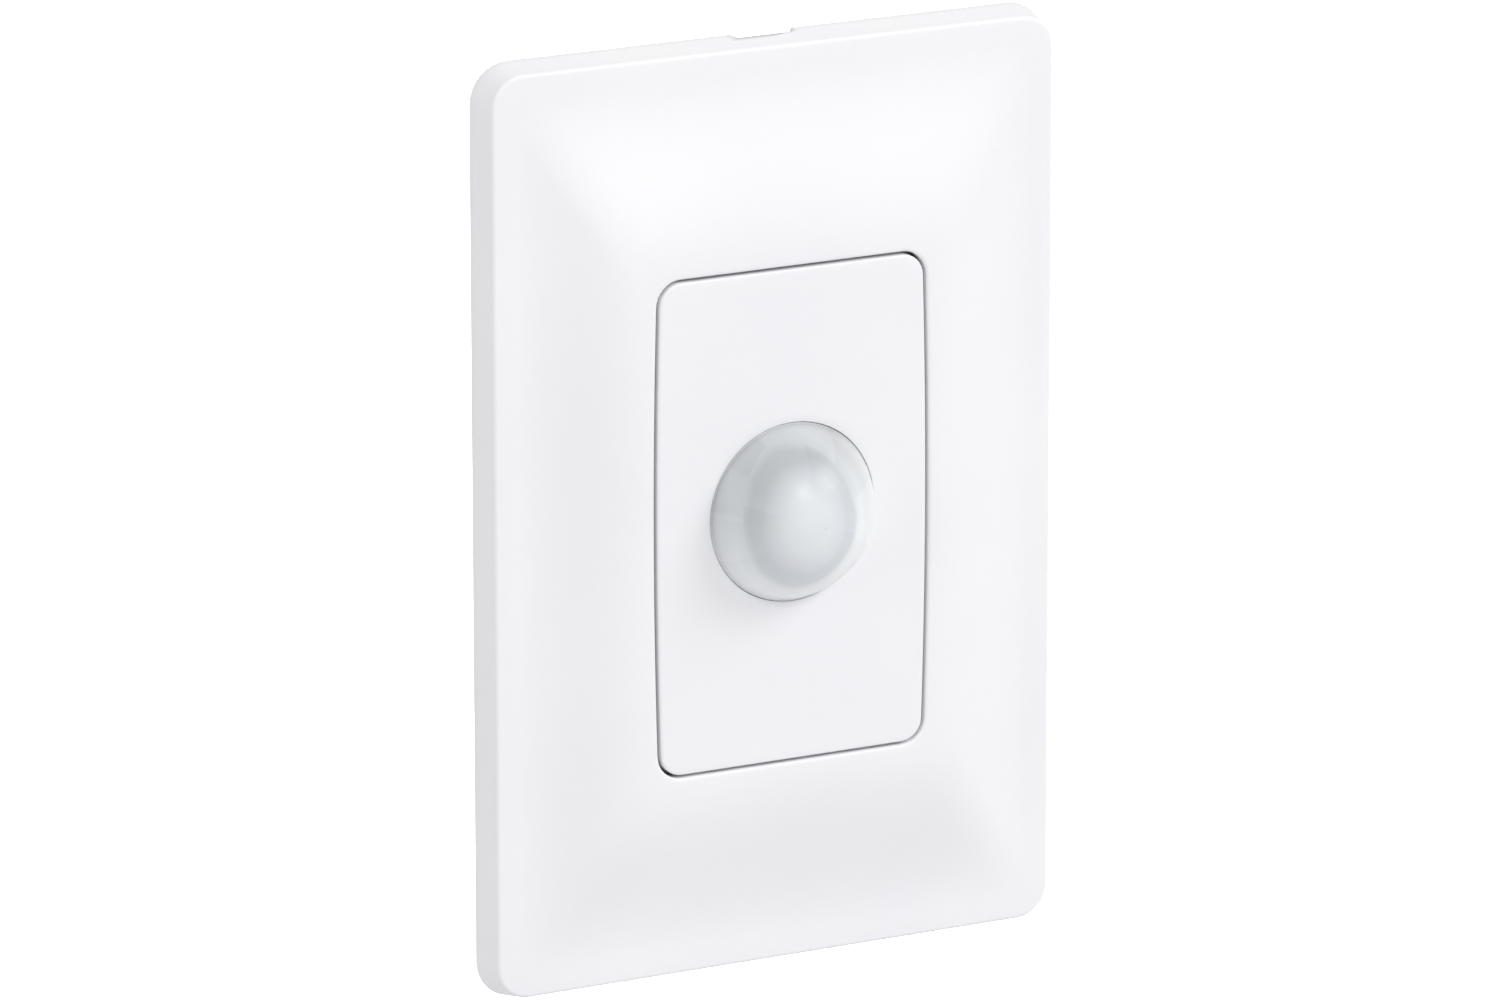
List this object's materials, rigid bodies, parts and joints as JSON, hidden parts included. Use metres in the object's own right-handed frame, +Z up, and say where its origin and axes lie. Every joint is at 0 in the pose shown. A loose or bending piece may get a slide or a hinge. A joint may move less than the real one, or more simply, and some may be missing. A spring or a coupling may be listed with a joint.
{
  "type": "motion sensor light switch",
  "caption": "White motion sensor light switch for a 4x2 wall box, with a push-on cover plate, a sensor module with a milky dome lens and screw terminals behind the wall.",
  "frame": {"origin": "centre of the plate in the wall plane, at the rear face of the support frame", "axes": "+Z up, -Y out of the wall to the front, +X right as seen from the front"},
  "size_m": [0.08, 0.0454, 0.12],
  "materials": {
    "plate_plastic": "satin white",
    "module_plastic": "satin white",
    "frame_plastic": "matt off-white",
    "housing_plastic": "matt light grey",
    "lens_plastic": "milky translucent",
    "white_nylon": "matt",
    "black_plastic": "matt",
    "yellow_plastic": "matt",
    "blue_sleeve": "satin",
    "circuit_board": "satin solder mask",
    "dark_filter": "polished",
    "sensor_ceramic": "matt",
    "nickel_can": "satin",
    "zinc_screw": "zinc plated",
    "brass_plated": "satin",
    "copper_wire": "enamelled copper"
  },
  "bodies": {
    "switch_body": {"board_header_pins": "brass_plated", "board_header_strip": "black_plastic", "board_screws": "zinc_screw", "box_screws": "zinc_screw", "bulk_electrolytic": "blue_sleeve", "chip_capacitors": "sensor_ceramic", "chip_resistors": "black_plastic", "control_chip": "black_plastic", "film_capacitor": "yellow_plastic", "fresnel_lens": "lens_plastic", "front_cover": "module_plastic", "fuse_resistor": "sensor_ceramic", "lens_retainer": "white_nylon", "light_sensor": "sensor_ceramic", "light_trimmer_body": "blue_sleeve", "pir_can": "nickel_can", "pir_header": "nickel_can", "pir_standoff": "black_plastic", "pir_window": "dark_filter", "power_board": "circuit_board", "rear_housing": "housing_plastic", "rectifier_diodes": "black_plastic", "relay_base": "black_plastic", "relay_bobbin": "white_nylon", "relay_case": "blue_sleeve", "relay_core": "nickel_can", "relay_fixed_contact": "brass_plated", "relay_pins": "brass_plated", "relay_winding": "copper_wire", "relay_yoke": "nickel_can", "sensor_board": "circuit_board", "small_electrolytic": "nickel_can", "support_frame": "frame_plastic", "terminal_blades": "brass_plated", "time_trimmer_body": "blue_sleeve", "varistor": "blue_sleeve", "voltage_regulator": "black_plastic"},
    "cover_plate": {"cover_plate": "plate_plastic"},
    "time_trimmer_rotor": {"time_trimmer_rotor": "white_nylon"},
    "light_trimmer_rotor": {"light_trimmer_rotor": "white_nylon"},
    "terminal_screw_1": {"terminal_screw_1": "zinc_screw"},
    "terminal_screw_2": {"terminal_screw_2": "zinc_screw"},
    "terminal_screw_3": {"terminal_screw_3": "zinc_screw"},
    "terminal_cage_1": {"terminal_cage_1": "brass_plated"},
    "terminal_cage_2": {"terminal_cage_2": "brass_plated"},
    "terminal_cage_3": {"terminal_cage_3": "brass_plated"},
    "relay_armature": {"relay_armature": "nickel_can", "relay_contact_blade": "brass_plated"}
  },
  "joints": [
    {"name": "cover_plate_pull", "type": "slide", "parent": "switch_body", "child": "cover_plate", "axis": [0, -1, 0], "range_m": [0, 0.028]},
    {"name": "time_trimmer_turn", "type": "hinge", "parent": "switch_body", "child": "time_trimmer_rotor", "pos_m": [-0.007, 0.0276, 0.0176], "axis": [0, -1, 0], "range_deg": [-135, 135]},
    {"name": "light_trimmer_turn", "type": "hinge", "parent": "switch_body", "child": "light_trimmer_rotor", "pos_m": [0.007, 0.0276, 0.0176], "axis": [0, -1, 0], "range_deg": [-135, 135]},
    {"name": "terminal_screw_turn_1", "type": "hinge", "parent": "switch_body", "child": "terminal_screw_1", "pos_m": [-0.009, 0.02245, -0.0253], "axis": [0, 0, 1], "range_deg": [0, 1800]},
    {"name": "terminal_cage_rise_1", "type": "slide", "parent": "switch_body", "child": "terminal_cage_1", "axis": [0, 0, -1], "range_m": [0, 0.003]},
    {"name": "terminal_screw_turn_2", "type": "hinge", "parent": "switch_body", "child": "terminal_screw_2", "pos_m": [0, 0.02245, -0.0253], "axis": [0, 0, 1], "range_deg": [0, 1800]},
    {"name": "terminal_cage_rise_2", "type": "slide", "parent": "switch_body", "child": "terminal_cage_2", "axis": [0, 0, -1], "range_m": [0, 0.003]},
    {"name": "terminal_screw_turn_3", "type": "hinge", "parent": "switch_body", "child": "terminal_screw_3", "pos_m": [0.009, 0.02245, -0.0253], "axis": [0, 0, 1], "range_deg": [0, 1800]},
    {"name": "terminal_cage_rise_3", "type": "slide", "parent": "switch_body", "child": "terminal_cage_3", "axis": [0, 0, -1], "range_m": [0, 0.003]},
    {"name": "relay_armature_tilt", "type": "hinge", "parent": "switch_body", "child": "relay_armature", "pos_m": [-0.0065, 0.00668, 0.0094], "axis": [1, 0, 0], "range_deg": [-3.4, 0]}
  ],
  "couplings": [
    {"joint": "terminal_screw_turn_1", "follows": "terminal_cage_rise_1", "rad_per_m": 10472},
    {"joint": "terminal_screw_turn_2", "follows": "terminal_cage_rise_2", "rad_per_m": 10472},
    {"joint": "terminal_screw_turn_3", "follows": "terminal_cage_rise_3", "rad_per_m": 10472}
  ]
}
